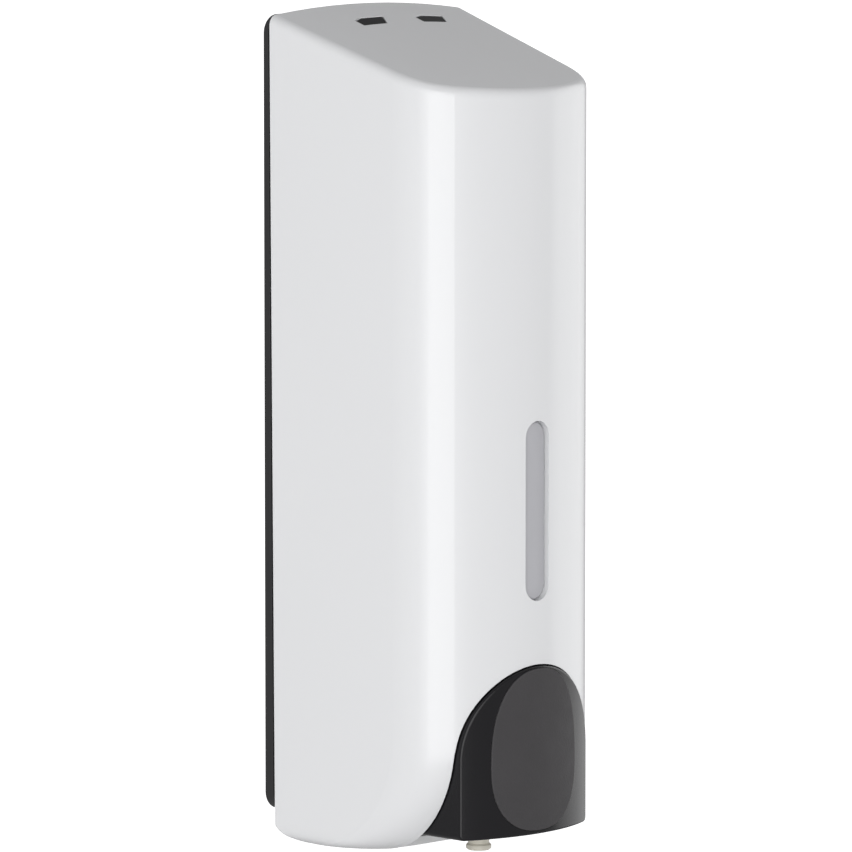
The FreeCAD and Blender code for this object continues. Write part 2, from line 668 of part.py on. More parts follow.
def push_pad():
    crisp = pad_solid("pad_block", -size("PadGap"), "-PadRise", "PadThickness - GlueGap")
    face = size("LeverFront") + size("PadRise")

    def on_face(edge):
        middle = edge.valueAt((edge.FirstParameter + edge.LastParameter) / 2)
        reach = math.hypot(middle.x, middle.y + size("LeverReach") - size("LeverFront"))
        return abs(reach - face) < SMALL_ROUND

    return rounded("push_pad", crisp, on_face, size("PadRound"))


def lever_pin():
    return rod("lever_pin", "LeverPinRadius", outward("HubHalf + 4.2"), "-PivotReach", "PivotHeight")


# ---------------------------------------------------------------- latch in the cover

def latch():
    bar_front, bar_rear = "-SlotReach - 3.3", "-SlotReach + 3.3"
    bar = box("latch_bar", outward("LatchHalf"), (bar_front, bar_rear), ("LatchTop - LatchBar", "LatchTop"))
    tongues = []
    for name, side in (("left", -1), ("right", 1)):
        upright = slot_prism(name + "_tongue", side, "SlideGap", ("LatchTop - 1", "TopRear + 5"))
        tongues.append(common(name + "_tongue_cut", upright, shaped(name + "_crown", crown(size("TongueShy")))))
    shank = box("latch_shank", outward("4"), ("-SlotReach - 0.8", "-SlotReach + 1.2"),
                ("GuideTop - 9", "LatchTop - 1"))
    foot = box("latch_foot", outward("4"), ("-SlotReach - 0.8", "-7.5"), ("GuideTop - 9", "GuideTop - 7"))
    nose = box("latch_nose", outward("4"), ("-10.2", "-7.5"), ("GuideTop - 8", "GuideTop - 4.6"))
    pips = [rod("latch_pip_%d" % (side + 1), "1.3", "%d * (LatchHalf - 5)" % side, "-SlotReach",
                ("LatchTop - LatchBar - 2", "LatchTop - 1")) for side in (-1, 1)]
    return fuse("latch", bar, shank, foot, nose, *(tongues + pips))


def latch_guide():
    plate = box("guide_plate", outward("GuideScrewOffset + 4"), ("-SlotReach - 5", "-SlotReach + 5"),
                ("GuideTop - 2.5", "GuideTop"))
    passage = box("guide_passage", outward("5 + SlideGap"), ("-SlotReach - 0.8 - SlideGap", "0"),
                  ("GuideTop - 3", "GuideTop + 1"))
    holes = [rod("guide_plate_hole_%d" % (side + 1), "1.6", "%d * GuideScrewOffset" % side, "-SlotReach",
                 ("GuideTop - 3", "GuideTop + 1")) for side in (-1, 1)]
    wells = [rod("spring_well_%d" % (side + 1), "2.9", "%d * (LatchHalf - 5)" % side, "-SlotReach",
                 ("GuideTop - 1", "GuideTop + 1")) for side in (-1, 1)]
    return cut("latch_guide", plate, passage, *(holes + wells))


def screw(name, shank_radius, shank_length, head_radius, head_height):
    """Pan head screw along its own Z: the head's underside is at zero and the tip points up."""
    blank = turned(name + "_blank", [
        ("0", "-(%s)" % head_height),
        ("(%s) * 0.75" % head_radius, "-(%s)" % head_height),
        (head_radius, "-(%s) * 0.6" % head_height),
        (head_radius, "0"),
        (shank_radius, "0"),
        (shank_radius, "(%s) - 1" % shank_length),
        ("(%s) * 0.4" % shank_radius, shank_length),
        ("0", shank_length),
    ])
    socket = doc.addObject("Part::Prism", name + "_socket")
    socket.Polygon = 6
    bind(socket, Circumradius="(%s) * 0.5" % head_radius, Height="(%s) * 0.65" % head_height)
    put(socket, z="-(%s) - 0.01" % head_height)
    return cut(name, blank, socket)


def latch_screws():
    pieces = []
    for side in (-1, 1):
        piece = screw("latch_screw_%d" % (side + 1), "1.25", "9", "2.4", "1.8")
        pieces.append(put(piece, "%d * GuideScrewOffset" % side, "-SlotReach", "GuideTop - 2.5"))
    return group("latch_screws", *pieces)


def coil(name, radius, wire, length, turns, start, turn=None):
    """Helical spring with its axis along its own Z."""
    path = Part.makeHelix((length - 2 * wire) / turns, length - 2 * wire, radius)
    profile = Part.Wire([Part.makeCircle(wire, Vector(radius, 0, 0), Vector(0, 1, 0))])
    solid = Part.Wire(path).makePipeShell([profile], True, True)
    obj = shaped(name, solid)
    obj.Placement = FreeCAD.Placement(start, turn or Rotation()).multiply(
        FreeCAD.Placement(Vector(0, 0, wire), Rotation()))
    return obj


SPRING_SHY = 0.05       # a spring stops this far from what it pushes on


def latch_springs():
    low = size("GuideTop") - 1 + SPRING_SHY
    length = size("LatchTop") - size("LatchBar") - SPRING_SHY - low
    pieces = []
    for side in (-1, 1):
        start = Vector(side * (size("LatchHalf") - 5), -size("SlotReach"), low)
        pieces.append(coil("latch_spring_%d" % (side + 1), 2.1, 0.25, length, 6, start))
    return group("latch_springs", *pieces)


# ---------------------------------------------------------------- back plate and hinge

def back_plate():
    sheet_edges = prism("plate_sheet", "YZ_Plane", [
        ("0", "PlateBottom"),
        ("-PartingBottom + PartingGap", "PlateBottom"),
        ("-PartingTop + PartingGap", "PlateTop"),
        ("0", "PlateTop"),
    ], outward("HalfWidth"))
    outline = rounded_plate("plate_outline")
    sheet_form = common("plate_form", sheet_edges, outline)
    additions = []
    holes = []
    for name, side in (("upper", "1"), ("lower", "-1")):
        height = "%s * ScrewSpacing / 2" % side
        additions.append(rod(name + "_wall_boss", "7", "0", ("-3.4", "-1"), height))
        holes.append(rod(name + "_wall_hole", "WallHoleRadius", "0", ("-6", "1"), height))
    for name, side in (("left", -1), ("right", 1)):
        low, high = ("EarInner", "EarOuter") if side > 0 else ("-EarOuter", "-EarInner")
        additions.append(rod(name + "_ear_eye", "HingePinRadius + 2", (low, high), "-HingeReach", "HingeHeight"))
        additions.append(prism(name + "_ear_arm", "YZ_Plane", [
            ("-1", "HingeHeight + 15"),
            ("-3", "HingeHeight + 15"),
            ("-HingeReach - 3.6", "HingeHeight + 2"),
            ("-HingeReach + 2", "HingeHeight - 3"),
            ("-1", "PlateBottom"),
        ], (low, high)))
        holes.append(rod(name + "_ear_hole", "HingePinRadius", (low, high), "-HingeReach", "HingeHeight"))
        for level, height in (("top", "TankBottom - 9"), ("low", "BracketBottom + 5")):
            place = "%d * BracketScrewOffset" % side
            additions.append(rod("%s_%s_boss" % (name, level), "4.5", place, ("-FlangeRear", "-1"), height))
            holes.append(rod("%s_%s_hole" % (name, level), "1.5", place, ("-FlangeRear - 1", "-1.2"), height))
        low, high = ("16", "24") if side > 0 else ("-24", "-16")
        additions.append(box(name + "_tank_clip", (low, high), ("-12", "-1"), ("TankTop + 0.2", "TankTop + 2.7")))
    catch_arm = box("catch_arm", outward("5"), ("-12.8", "-1"), ("GuideTop - 1.8", "GuideTop + 0.7"))
    catch_lip = box("catch_lip", outward("5"), ("-12.8", "-10.8"), ("GuideTop - 4.3", "GuideTop - 1"))
    additions += [catch_arm, catch_lip]
    for place in ("-36", "34"):
        additions.append(box("plate_rib_%s" % place.replace("-", "m"), (place, "%s + 2" % place), ("-5", "-1"),
                             ("PlateBottom + 22", "PlateTop - 12")))
    return cut("back_plate", fuse("plate_blank", sheet_form, *additions), *holes)


def rounded_plate(name):
    """Upright plate body with four rounded corners."""
    body = doc.addObject("PartDesign::Body", name)
    sketch = outline_sketch(body, "XZ_Plane", [
        ("-HalfWidth", "PlateBottom"),
        ("HalfWidth", "PlateBottom"),
        ("HalfWidth", "PlateTop"),
        ("-HalfWidth", "PlateTop"),
    ])
    pad = body.newObject("PartDesign::Pad", name + "_pad")
    pad.Profile = sketch
    pad.setExpression("Length", "12")
    doc.recompute()
    upright = [number for number, edge in enumerate(pad.Shape.Edges, start=1)
               if edge.BoundBox.XLength < 1e-3 and edge.BoundBox.ZLength < 1e-3]
    corners = body.newObject("PartDesign::Fillet", name + "_corners")
    corners.Base = (pad, ["Edge%d" % number for number in upright])
    corners.setExpression("Radius", sized("PlateCorner"))
    return body


def hinge_pins():
    pins = []
    for name, low, high in (("left", "-HalfWidth + 3", "-EarInner"), ("right", "EarInner", "HalfWidth - 3")):
        pins.append(rod(name + "_hinge_pin", "HingePinRadius", (low, high), "-HingeReach", "HingeHeight"))
    return group("hinge_pins", *pins)


# ---------------------------------------------------------------- soap tank

def tank_block(inset, low, high):
    rear = size("TankRear") + inset
    outline = plan_outline(low, size("TankInset") + inset, 0.0, rear, 4.0)
    return Part.Face(outline).extrude(Vector(0, 0, high - low))


def soap_tank():
    wall = size("TankWall")
    outer = tank_block(0.0, size("TankBottom"), size("TankTop"))
    inner = tank_block(wall, size("TankBottom") + wall, size("TankTop") - wall)
    rims = [edge for edge in outer.Edges if edge.BoundBox.ZLength < 1e-3]
    shell = shaped("tank_shell", outer.makeFillet(1.2, rims).cut(inner))
    neck = rod("tank_neck", "NeckRadius", "0", "-InletReach", ("NeckBottom", "TankBottom + TankWall"))
    throat = rod("tank_throat", "NeckRadius - NeckWall", "0", "-InletReach",
                 ("NeckBottom - 1", "TankBottom + TankWall + 1"))
    mouth = rod("fill_mouth", "FillRadius", "0", "-FillReach", ("TankTop - TankWall - 1", "TankTop + 1"))
    threads = []
    for level in range(3):
        ring = turned("neck_thread_%d" % level, [
            ("NeckRadius - 0.2", "-0.8"),
            ("NeckRadius + 0.5", "-0.25"),
            ("NeckRadius + 0.5", "0.25"),
            ("NeckRadius - 0.2", "0.8"),
        ], "0", "-InletReach", "NeckBottom + 2 + %d * 2.4" % level)
        threads.append(ring)
    return cut("soap_tank", fuse("tank_with_neck", shell, neck, *threads), throat, mouth)


def tank_lid():
    lid = turned("lid_blank", [
        ("0", "3.5"),
        ("FillRadius + 1.6", "3.5"),
        ("FillRadius + 2.6", "2.6"),
        ("FillRadius + 2.6", "SealThickness"),
        ("FillRadius - 0.3", "SealThickness"),
        ("FillRadius - 0.3", "-5"),
        ("FillRadius - 1.8", "-5"),
        ("FillRadius - 1.8", "SealThickness + 0.3"),
        ("0", "SealThickness + 0.3"),
    ], "0", "-FillReach", "TankTop")
    grip = box("lid_grip", outward("1.1"), ("-FillReach - FillRadius + 4", "-FillReach + FillRadius - 4"),
               ("TankTop + 3", "TankTop + 5"))
    return fuse("tank_lid", lid, grip)


def ring(name, inner, outer, low, high, reach):
    return turned(name, [(inner, low), (outer, low), (outer, high), (inner, high)], "0", "-(%s)" % reach)


def lid_seal():
    return ring("lid_seal", "FillRadius - 0.2", "FillRadius + 2.2", "TankTop", "TankTop + SealThickness",
                "FillReach")


def tank_gasket():
    return ring("tank_gasket", "NeckRadius - NeckWall", "NeckRadius", "NeckBottom - SealThickness",
                "NeckBottom", "InletReach")


def collar_nut():
    nut = turned("nut_blank", [
        ("NeckRadius + 0.6", "NeckBottom - SealThickness - 2.5"),
        ("InletRadius + 2.1", "NeckBottom - SealThickness - 2.5"),
        ("InletRadius + 2.1", "NeckBottom - SealThickness - 4.5"),
        ("NeckRadius + 3", "NeckBottom - SealThickness - 4.5"),
        ("NeckRadius + 4", "NeckBottom - SealThickness - 3.5"),
        ("NeckRadius + 4", "TankBottom - ShelfThickness"),
        ("NeckRadius + 0.6", "TankBottom - ShelfThickness"),
    ], "0", "-InletReach")
    grips = []
    for step in range(12):
        angle = math.radians(30.0 * step)
        reach = size("NeckRadius") + 4.4
        groove = rod("nut_groove_%d" % step, "1.0", "%.4f" % (reach * math.cos(angle)),
                     "-InletReach + %.4f" % (reach * math.sin(angle)),
                     ("NeckBottom - SealThickness - 5", "TankBottom - ShelfThickness - 1.5"))
        grips.append(groove)
    return cut("collar_nut", nut, *grips)


# ---------------------------------------------------------------- pump

def valve_seat():
    return turned("valve_seat", [
        ("2.2", "SeatBottom"),
        ("InletRadius", "SeatBottom"),
        ("InletRadius", "SeatBottom + 3"),
        ("3.4", "SeatBottom + 3"),
        ("2.2", "SeatBottom + 1.6"),
    ], "0", "-InletReach")


def inlet_ball():
    ball = doc.addObject("Part::Sphere", "inlet_ball")
    bind(ball, Radius="BallRadius")
    return put(ball, "0", "-InletReach", "BallRest")


def valve_cage():
    rim = ring("cage_rim", "1.8", "InletRadius", "CageTop - 2", "CageTop", "InletReach")
    vents = [rod("cage_vent_%d" % step, "0.8", "%.4f" % (3.4 * math.cos(math.radians(90 * step))),
                 "-InletReach + %.4f" % (3.4 * math.sin(math.radians(90 * step))), ("CageTop - 3", "CageTop + 1"))
             for step in range(4)]
    return cut("valve_cage", rim, *vents)


def pump_body():
    axis = "PumpHeight"
    barrel = rod("pump_barrel", "PumpRadius", "0", ("-PumpFront", "-PumpRear"), axis)
    tube = rod("inlet_tube", "InletRadius + 1.9", "0", "-InletReach", ("PumpHeight", "NeckBottom - SealThickness"))
    flange = rod("inlet_flange", "NeckRadius", "0", "-InletReach",
                 ("NeckBottom - SealThickness - 2.4", "NeckBottom - SealThickness"))
    duct = rod("outlet_duct", "DuctRadius", "0", ("-NozzleReach", "-PumpRear"), "DuctHeight")
    web = box("duct_web", outward("2"), ("-PumpFront", "-PumpRear"), ("DuctHeight", "PumpHeight"))
    socket = rod("nozzle_socket", "SocketRadius", "0", "-NozzleReach", ("SocketBottom", "DuctHeight + DuctRadius"))
    solid = fuse("pump_blank", barrel, tube, flange, duct, web, socket)
    bore = rod("pump_bore", "BoreRadius", "0", ("-PumpFront - 1", "-PumpRear + 1"), axis)
    inlet = rod("inlet_bore", "InletRadius", "0", "-InletReach", ("CageTop - 2", "NeckBottom"))
    port = rod("inlet_port", "3", "0", "-InletReach", ("PumpHeight + BoreRadius - 1", "CageTop"))
    drain = rod("outlet_port", "1.6", "0", "-PumpRear - 6", ("DuctHeight", "PumpHeight - BoreRadius + 1"))
    channel = rod("duct_channel", "2.2", "0", ("-NozzleReach", "-PumpRear - 3"), "DuctHeight")
    outlet = rod("socket_bore", "4.6", "0", "-NozzleReach", ("SocketBottom - 1", "DuctHeight - 1"))
    drop = rod("socket_port", "2.2", "0", "-NozzleReach", ("DuctHeight - 2", "DuctHeight"))
    return cut("pump_body", solid, bore, inlet, port, drain, channel, outlet, drop)


def along_pump(name, profile, reach):
    """Piece turned about the pump's axis; its heights run forwards from that distance off the wall."""
    return turned(name, profile, "0", "-(%s)" % reach, "PumpHeight", FORWARD)


def pump_rear_plug():
    return along_pump("pump_rear_plug", [
        ("0", "-1.6"),
        ("PumpRadius", "-1.6"),
        ("PumpRadius", "0"),
        ("BoreRadius", "0"),
        ("BoreRadius", "3"),
        ("0", "3"),
    ], "PumpRear")


def plunger():
    return along_pump("plunger", [
        ("0", "0"),
        ("2.2", "0"),
        ("2.2", "1.2"),
        ("BoreRadius - 0.3", "1.2"),
        ("BoreRadius - 0.3", "2.2"),
        ("4.6", "2.2"),
        ("4.6", "5.2"),
        ("BoreRadius - 0.3", "5.2"),
        ("BoreRadius - 0.3", "6.4"),
        ("3.4", "6.4"),
        ("3.4", "ShoeFront - PlungerRest - 5"),
        ("2", "ShoeFront - PlungerRest - 5"),
        ("2", "ShoeFront - PlungerRest - 2"),
        ("0", "ShoeFront - PlungerRest - 2"),
    ], "PlungerRest")


def plunger_seal():
    return along_pump("plunger_seal", [
        ("4.6", "2.3"),
        ("BoreRadius - 0.05", "2.3"),
        ("BoreRadius - 0.9", "3.6"),
        ("BoreRadius - 0.05", "5.1"),
        ("4.6", "5.1"),
    ], "PlungerRest")


def plunger_shoe():
    return along_pump("plunger_shoe", [
        ("0", "-2"),
        ("2", "-2"),
        ("2", "-5"),
        ("4.2", "-5"),
        ("4.2", "-1"),
        ("3.2", "0"),
        ("0", "0"),
    ], "ShoeFront")


def pump_spring():
    start = -(size("PumpRear") + 3 + SPRING_SHY)
    length = size("PlungerRest") + 1.2 - SPRING_SHY + start
    return coil("pump_spring", 4.6, 0.5, length, 7, Vector(0, start, size("PumpHeight")), FORWARD)


def nozzle():
    return turned("nozzle", [
        ("1.7", "NozzleBottom"),
        ("NozzleRadius - 0.3", "NozzleBottom"),
        ("NozzleRadius + 0.3", "NozzleBottom + 0.5"),
        ("NozzleRadius + 0.3", "NozzleBottom + 1.5"),
        ("NozzleRadius - 0.3", "NozzleBottom + 2.1"),
        ("NozzleRadius - 0.3", "SocketBottom - 1.5"),
        ("SocketRadius - 0.6", "SocketBottom - 1.5"),
        ("SocketRadius - 0.6", "SocketBottom"),
        ("4.5", "SocketBottom"),
        ("4.5", "SocketBottom + 1.5"),
        ("3.5", "SocketBottom + 1.5"),
        ("3.5", "SocketBottom + 3.1"),
        ("4.5", "SocketBottom + 3.1"),
        ("4.5", "SocketBottom + 4.2"),
        ("1.7", "SocketBottom + 4.2"),
    ], "0", "-NozzleReach")


def nozzle_oring():
    seal = doc.addObject("Part::Torus", "nozzle_oring")
    bind(seal, Radius1="4.05", Radius2="0.5")
    return put(seal, "0", "-NozzleReach", "SocketBottom + 2.3")


def outlet_duckbill():
    """Small rubber bill in the top of the nozzle socket, with a slit across its lower end."""
    bill = turned("duckbill_blank", [
        ("1.4", "SocketBottom + 6.4"),
        ("4.4", "SocketBottom + 6.4"),
        ("4.4", "SocketBottom + 5.4"),
        ("1.6", "SocketBottom + 5.4"),
        ("1.0", "SocketBottom + 1.5"),
        ("0.4", "SocketBottom + 1.5"),
        ("0.9", "SocketBottom + 5.4"),
    ], "0", "-NozzleReach")
    return bill


# ---------------------------------------------------------------- pump bracket

def pump_bracket():
    shelf = box("bracket_shelf", outward("ShelfHalf"), ("-ShelfFront", "-FlangeRear"),
                ("TankBottom - ShelfThickness", "TankBottom"))
    flange = box("bracket_flange", outward("ShelfHalf"), ("-FlangeFront", "-FlangeRear"),
                 ("BracketBottom", "TankBottom"))
    gussets = []
    for name, low, high in (("left", "-ShelfHalf", "-ShelfHalf + 2"), ("right", "ShelfHalf - 2", "ShelfHalf")):
        gussets.append(prism(name + "_gusset", "YZ_Plane", [
            ("-FlangeRear", "TankBottom"),
            ("-ShelfFront + 4", "TankBottom"),
            ("-ShelfFront + 4", "TankBottom - 5"),
            ("-FlangeFront", "BracketBottom + 3"),
            ("-FlangeRear", "BracketBottom + 3"),
        ], (low, high)))
    hole = rod("shelf_hole", "NeckRadius + 1", "0", "-InletReach", ("TankBottom - 5", "TankBottom + 1"))
    screw_holes = []
    for name, side in (("left", -1), ("right", 1)):
        for level, height in (("top", "TankBottom - 9"), ("low", "BracketBottom + 5")):
            screw_holes.append(rod("%s_%s_bracket_hole" % (name, level), "1.7",
                                   "%d * BracketScrewOffset" % side, ("-FlangeFront - 1", "0"), height))
    return cut("pump_bracket", fuse("bracket_blank", shelf, flange, *gussets), hole, *screw_holes)


def bracket_screws():
    pieces = []
    for side in (-1, 1):
        for level, height in enumerate(("TankBottom - 9", "BracketBottom + 5")):
            piece = screw("bracket_screw_%d%d" % (side + 1, level), "1.5", "4.6", "3", "2.2")
            turn = Rotation(Vector(0, 0, 1), Vector(0, 1, 0))
            pieces.append(put(piece, "%d * BracketScrewOffset" % side, "-FlangeFront", height, turn))
    return group("bracket_screws", *pieces)


# ---------------------------------------------------------------- build, check and write

SUBPARTS = [
    back_plate, hinge_pins, pump_bracket, bracket_screws,
    front_cover, window_lens, lens_retainer,
    push_lever, push_pad, lever_pin,
    latch, latch_guide, latch_screws, latch_springs,
    soap_tank, tank_lid, lid_seal, tank_gasket, collar_nut,
    valve_seat, inlet_ball, valve_cage, pump_body, pump_rear_plug,
    plunger, plunger_seal, plunger_shoe, pump_spring,
    outlet_duckbill, nozzle, nozzle_oring,
]


def main():
    pieces = []
    for maker in SUBPARTS:
        piece = maker()
        piece.Label = maker.__name__
        pieces.append(piece)
    doc.recompute()
    failed = [obj.Name for obj in doc.Objects if "Invalid" in obj.State or "Error" in obj.State]
    failed += [piece.Label for piece in pieces if piece.Shape.isNull() or not piece.Shape.isValid()]
    if failed:
        raise RuntimeError("these did not build: " + ", ".join(failed))
    os.makedirs("parts", exist_ok=True)
    for piece in pieces:
        piece.Shape.exportStep(os.path.join("parts", piece.Label + ".step"))
        low = piece.Shape.BoundBox
        print("%-16s solids %d volume %9.1f  x %7.1f %7.1f  y %7.1f %7.1f  z %7.1f %7.1f" % (
            piece.Label, len(piece.Shape.Solids), piece.Shape.Volume,
            low.XMin, low.XMax, low.YMin, low.YMax, low.ZMin, low.ZMax))


main()
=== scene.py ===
import math

import bmesh
import bpy
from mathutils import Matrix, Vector


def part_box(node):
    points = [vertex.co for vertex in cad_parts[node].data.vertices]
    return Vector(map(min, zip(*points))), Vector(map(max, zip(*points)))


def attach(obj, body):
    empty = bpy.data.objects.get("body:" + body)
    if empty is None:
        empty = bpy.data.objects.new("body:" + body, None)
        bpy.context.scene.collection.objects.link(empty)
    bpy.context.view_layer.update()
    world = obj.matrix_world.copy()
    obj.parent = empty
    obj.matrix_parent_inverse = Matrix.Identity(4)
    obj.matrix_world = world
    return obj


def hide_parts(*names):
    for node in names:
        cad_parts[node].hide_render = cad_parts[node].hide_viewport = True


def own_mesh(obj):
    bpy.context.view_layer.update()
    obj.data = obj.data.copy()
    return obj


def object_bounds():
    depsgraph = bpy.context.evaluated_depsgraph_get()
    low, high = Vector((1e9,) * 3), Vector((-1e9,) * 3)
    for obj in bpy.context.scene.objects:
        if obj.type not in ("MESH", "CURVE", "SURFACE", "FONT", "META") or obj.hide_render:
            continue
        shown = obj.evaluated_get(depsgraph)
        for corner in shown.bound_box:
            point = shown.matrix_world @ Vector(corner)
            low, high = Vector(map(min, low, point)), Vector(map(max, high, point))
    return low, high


# Looks of the wall mounted soap dispenser.  The wall is the plane y = 0, the front faces -Y and +Z
# is up.  Every length is in metres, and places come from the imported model.

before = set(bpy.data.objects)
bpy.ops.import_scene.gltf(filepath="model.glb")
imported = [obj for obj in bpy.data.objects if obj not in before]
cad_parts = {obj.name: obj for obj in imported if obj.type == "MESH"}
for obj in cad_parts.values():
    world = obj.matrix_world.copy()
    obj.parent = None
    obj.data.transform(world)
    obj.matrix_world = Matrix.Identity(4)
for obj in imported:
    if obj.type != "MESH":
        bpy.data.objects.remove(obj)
CAD_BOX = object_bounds()
MM = 0.001


# ---------------------------------------------------------------- node helpers

class Shader:
    """A procedural material with one Principled shader, built up step by step."""

    def __init__(self, name):
        self.material = bpy.data.materials.new(name)
        self.material.use_nodes = True
        self.nodes = self.material.node_tree.nodes
        self.links = self.material.node_tree.links
        self.surface = self.nodes["Principled BSDF"]
        self.place = self.nodes.new("ShaderNodeTexCoord").outputs["Object"]

    def set(self, **values):
        """Sets the shader's own sockets, named with underscores for spaces."""
        for name, value in values.items():
            self.surface.inputs[name.replace("_", " ")].default_value = value
        return self

    def stretched(self, x, y, z):
        """The place of each point, stretched by a factor along each axis."""
        mapping = self.nodes.new("ShaderNodeMapping")
        mapping.inputs["Scale"].default_value = (x, y, z)
        self.links.new(self.place, mapping.inputs["Vector"])
        return mapping.outputs["Vector"]

    def noise(self, grain, detail=2.0, place=None):
        """Cloudy pattern between 0 and 1 whose features are about grain metres across."""
        node = self.nodes.new("ShaderNodeTexNoise")
        node.inputs["Scale"].default_value = 1 / grain
        node.inputs["Detail"].default_value = detail
        self.links.new(place or self.place, node.inputs["Vector"])
        return node.outputs["Fac"]

    def cells(self, grain):
        """Pattern of small round cells about grain metres across."""
        node = self.nodes.new("ShaderNodeTexVoronoi")
        node.feature = "SMOOTH_F1"
        node.inputs["Scale"].default_value = 1 / grain
        self.links.new(self.place, node.inputs["Vector"])
        return node.outputs["Distance"]

    def between(self, pattern, low, high, sharpness=0.0):
        """Number from low to high that follows a pattern; sharpness narrows its change."""
        node = self.nodes.new("ShaderNodeMapRange")
        node.inputs["From Min"].default_value = 0.5 * sharpness
        node.inputs["From Max"].default_value = 1 - 0.5 * sharpness
        node.inputs["To Min"].default_value = low
        node.inputs["To Max"].default_value = high
        self.links.new(pattern, node.inputs["Value"])
        return node.outputs["Result"]

    def mixed(self, factor, first, second):
        """Colour from first to second as factor goes from 0 to 1."""
        node = self.nodes.new("ShaderNodeMix")
        node.data_type = "RGBA"
        self.links.new(factor, node.inputs[0])
        for socket, colour in ((node.inputs[6], first), (node.inputs[7], second)):
            if isinstance(colour, tuple):
                socket.default_value = (*colour, 1)
            else:
                self.links.new(colour, socket)
        return node.outputs[2]

    def painted_edge_highlight(self, reach):
        """Mask for the painted edge highlight: 1 at sharp outer edges within reach metres, 0 on open
        faces.
        """
        bevel = self.nodes.new("ShaderNodeBevel")
        bevel.samples = 4
        bevel.inputs["Radius"].default_value = reach
        geometry = self.nodes.new("ShaderNodeNewGeometry")
        dot = self.nodes.new("ShaderNodeVectorMath")
        dot.operation = "DOT_PRODUCT"
        self.links.new(bevel.outputs["Normal"], dot.inputs[0])
        self.links.new(geometry.outputs["Normal"], dot.inputs[1])
        turned = self.nodes.new("ShaderNodeMapRange")
        turned.inputs["From Min"].default_value = 1.0
        turned.inputs["From Max"].default_value = 0.8
        self.links.new(dot.outputs["Value"], turned.inputs["Value"])
        return turned.outputs["Result"]

    def colour(self, value):
        self.links.new(value, self.surface.inputs["Base Color"])
        return self

    def roughness(self, value):
        self.links.new(value, self.surface.inputs["Roughness"])
        return self

    def bump(self, *layers):
        """Relief from (pattern, height in metres) layers, one on top of the other."""
        normal = None
        for pattern, height in layers:
            node = self.nodes.new("ShaderNodeBump")
            node.inputs["Strength"].default_value = 1.0
            node.inputs["Distance"].default_value = height
            self.links.new(pattern, node.inputs["Height"])
            if normal is not None:
                self.links.new(normal, node.inputs["Normal"])
            normal = node.outputs["Normal"]
        self.links.new(normal, self.surface.inputs["Normal"])
        return self


def plain_mix(shader, colour, spread, grain):
    """Sets a base colour that drifts by a small share either way."""
    low = tuple(part * (1 - spread) for part in colour)
    high = tuple(min(part * (1 + spread), 1.0) for part in colour)
    return shader.colour(shader.mixed(shader.noise(grain, 3.0), low, high))


# ---------------------------------------------------------------- materials

PLASTIC_IOR = 1.5


def glossy_moulding(name, colour, spread, roughness, coat, specular=0.5):
    """Polished moulded plastic: long soft flow waves, faint orange peel, fine grain and a clear shine."""
    shader = Shader(name)
    plain_mix(shader, colour, spread, 30 * MM)
    shader.roughness(shader.between(shader.noise(0.8 * MM, 1.0), roughness * 0.98, roughness * 1.02))
    shader.set(IOR=PLASTIC_IOR, Coat_Weight=coat, Coat_Roughness=0.12, Specular_IOR_Level=specular)
    flow = shader.noise(40 * MM, 0.0, shader.stretched(1.0, 1.0, 0.35))
    shader.bump((flow, 0.02 * MM), (shader.noise(2.5 * MM, 0.0), 0.0005 * MM))
    return shader.material


def textured_moulding(name, colour, spread, roughness, grain, height, specular=0.5):
    """Spark-textured moulded plastic: an even field of tiny bumps, with a painted highlight that lightens
    its sharp edges.
    """
    shader = Shader(name)
    low = tuple(part * (1 - spread) for part in colour)
    high = tuple(part * (1 + spread) for part in colour)
    body = shader.mixed(shader.noise(14 * MM, 4.0), low, high)
    # Painted highlight: sharp outer edges are coloured lighter than the body colour.
    edge_highlight_colour = tuple(part * 1.5 + 0.01 for part in colour)
    shader.colour(shader.mixed(shader.painted_edge_highlight(0.35 * MM), body, edge_highlight_colour))
    shader.roughness(shader.between(shader.noise(5 * MM, 3.0), roughness * 0.9, roughness * 1.1))
    shader.set(IOR=PLASTIC_IOR, Specular_IOR_Level=specular)
    shader.bump((shader.noise(grain, 1.0), height), (shader.cells(grain * 1.8), height * 0.7))
    return shader.material


def clear_moulding(name, colour, roughness, transmission, grain):
    """Translucent moulded plastic with a frosted face."""
    shader = Shader(name)
    plain_mix(shader, colour, 0.03, 12 * MM)
    shader.roughness(shader.between(shader.noise(3 * MM, 3.0), roughness * 0.85, roughness * 1.15))
    shader.set(IOR=PLASTIC_IOR, Transmission_Weight=transmission)
    shader.bump((shader.noise(grain, 1.0), 0.004 * MM))
    return shader.material


def rubber(name, colour, roughness):
    """Soft moulded rubber: matte, with a faint bloom and pores."""
    shader = Shader(name)
    plain_mix(shader, colour, 0.12, 4 * MM)
    shader.roughness(shader.between(shader.noise(1.5 * MM, 4.0), roughness * 0.85, roughness * 1.1))
    shader.set(IOR=1.45, Sheen_Weight=0.15, Sheen_Roughness=0.6)
    shader.bump((shader.cells(0.35 * MM), 0.006 * MM), (shader.noise(1.2 * MM), 0.01 * MM))
    return shader.material


def metal(name, colour, roughness, grain, height):
    """Bare or plated steel with drawn streaks and small stains."""
    shader = Shader(name)
    dull = tuple(part * 0.72 for part in colour)
    stains = shader.between(shader.noise(2.2 * MM, 5.0), 0.0, 1.0, 0.5)
    shader.colour(shader.mixed(stains, colour, dull))
    streaks = shader.noise(grain, 3.0, shader.stretched(1.0, 6.0, 6.0))
    shader.roughness(shader.between(streaks, roughness * 0.7, roughness * 1.4))
    shader.set(Metallic=1.0)
    shader.bump((streaks, height))
    return shader.material


